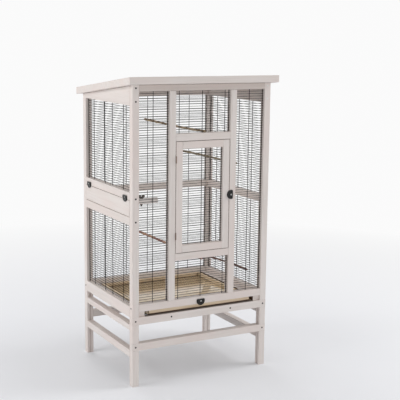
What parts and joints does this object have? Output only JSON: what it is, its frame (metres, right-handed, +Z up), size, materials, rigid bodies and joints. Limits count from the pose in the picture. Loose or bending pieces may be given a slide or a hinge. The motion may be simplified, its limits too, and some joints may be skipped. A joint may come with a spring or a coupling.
{
  "type": "wooden aviary",
  "caption": "Tall wooden bird aviary on legs with a sloping roof, welded mesh walls, a hinged door, a feeding hatch and a slide-out floor drawer.",
  "frame": {"origin": "on the floor, under the middle of the roof panel", "axes": "+Z up; the wall with the door faces -Y; +X is to the right as seen from the front"},
  "size_m": [0.83, 0.67, 1.5299],
  "materials": {
    "painted_wood": "whitewashed softwood, the grain showing through",
    "bare_wood": "untreated plywood",
    "branch": "branch with its bark on",
    "mesh_steel": "dark coated welded wire",
    "hinge_steel": "dark brown enamelled steel",
    "button_plastic": "glossy black moulding"
  },
  "bodies": {
    "frame": {"back_floor_rail": "painted_wood", "back_left_post": "painted_wood", "back_lower_mesh": "mesh_steel", "back_mid_rail": "painted_wood", "back_right_post": "painted_wood", "back_stretcher": "painted_wood", "back_top_rail": "painted_wood", "back_upper_mesh": "mesh_steel", "feeder_bar": "painted_wood", "front_drawer_rail": "painted_wood", "front_floor_rail": "painted_wood", "front_header_rail": "painted_wood", "front_left_mesh": "mesh_steel", "front_left_post": "painted_wood", "front_left_stile": "painted_wood", "front_lower_mesh": "mesh_steel", "front_right_mesh": "mesh_steel", "front_right_post": "painted_wood", "front_right_stile": "painted_wood", "front_sill_rail": "painted_wood", "front_stretcher": "painted_wood", "front_top_rail": "painted_wood", "front_upper_mesh": "mesh_steel", "left_floor_rail": "painted_wood", "left_lower_mesh": "mesh_steel", "left_lower_mid_rail": "painted_wood", "left_perch": "branch", "left_stand_rail": "painted_wood", "left_stretcher": "painted_wood", "left_top_board": "painted_wood", "left_upper_mesh": "mesh_steel", "left_upper_mid_rail": "painted_wood", "lower_hinge_frame_leaf": "hinge_steel", "middle_perch": "branch", "right_floor_rail": "painted_wood", "right_lower_mesh": "mesh_steel", "right_mid_rail": "painted_wood", "right_perch": "branch", "right_stand_rail": "painted_wood", "right_stretcher": "painted_wood", "right_top_board": "painted_wood", "right_upper_mesh": "mesh_steel", "roof_panel": "painted_wood", "top_perch": "branch", "tray_left_runner": "painted_wood", "tray_right_runner": "painted_wood", "upper_hinge_frame_leaf": "hinge_steel"},
    "door": {"door_left_stile": "painted_wood", "door_right_stile": "painted_wood", "door_top_rail": "painted_wood", "door_bottom_rail": "painted_wood", "door_mesh": "mesh_steel", "lower_hinge_door_leaf": "hinge_steel", "upper_hinge_door_leaf": "hinge_steel"},
    "tray": {"tray": "bare_wood"},
    "hatch": {"hatch_board": "painted_wood"},
    "door_button": {"door_button": "button_plastic"},
    "tray_button": {"tray_button": "button_plastic"},
    "hatch_button_front": {"hatch_button_front": "button_plastic"},
    "hatch_button_back": {"hatch_button_back": "button_plastic"}
  },
  "joints": [
    {"name": "door_swing", "type": "hinge", "parent": "frame", "child": "door", "pos_m": [-0.15175, -0.3073, 0.935], "axis": [0, 0, -1], "range_deg": [0, 165]},
    {"name": "tray_slide", "type": "slide", "parent": "frame", "child": "tray", "axis": [0, -1, 0], "range_m": [0, 0.5]},
    {"name": "hatch_tilt", "type": "hinge", "parent": "frame", "child": "hatch", "pos_m": [-0.38, 0.006, 0.8585], "axis": [0, -1, 0], "range_deg": [0, 90]},
    {"name": "door_button_turn", "type": "hinge", "parent": "frame", "child": "door_button", "pos_m": [0.161, -0.3073, 0.9325], "axis": [0, 1, 0], "continuous": true},
    {"name": "tray_button_turn", "type": "hinge", "parent": "frame", "child": "tray_button", "pos_m": [-0.006, -0.3073, 0.398], "axis": [0, 1, 0], "continuous": true},
    {"name": "hatch_button_front_turn", "type": "hinge", "parent": "frame", "child": "hatch_button_front", "pos_m": [-0.3883, -0.221, 0.946], "axis": [1, 0, 0], "continuous": true},
    {"name": "hatch_button_back_turn", "type": "hinge", "parent": "frame", "child": "hatch_button_back", "pos_m": [-0.3883, 0.233, 0.946], "axis": [1, 0, 0], "continuous": true}
  ]
}
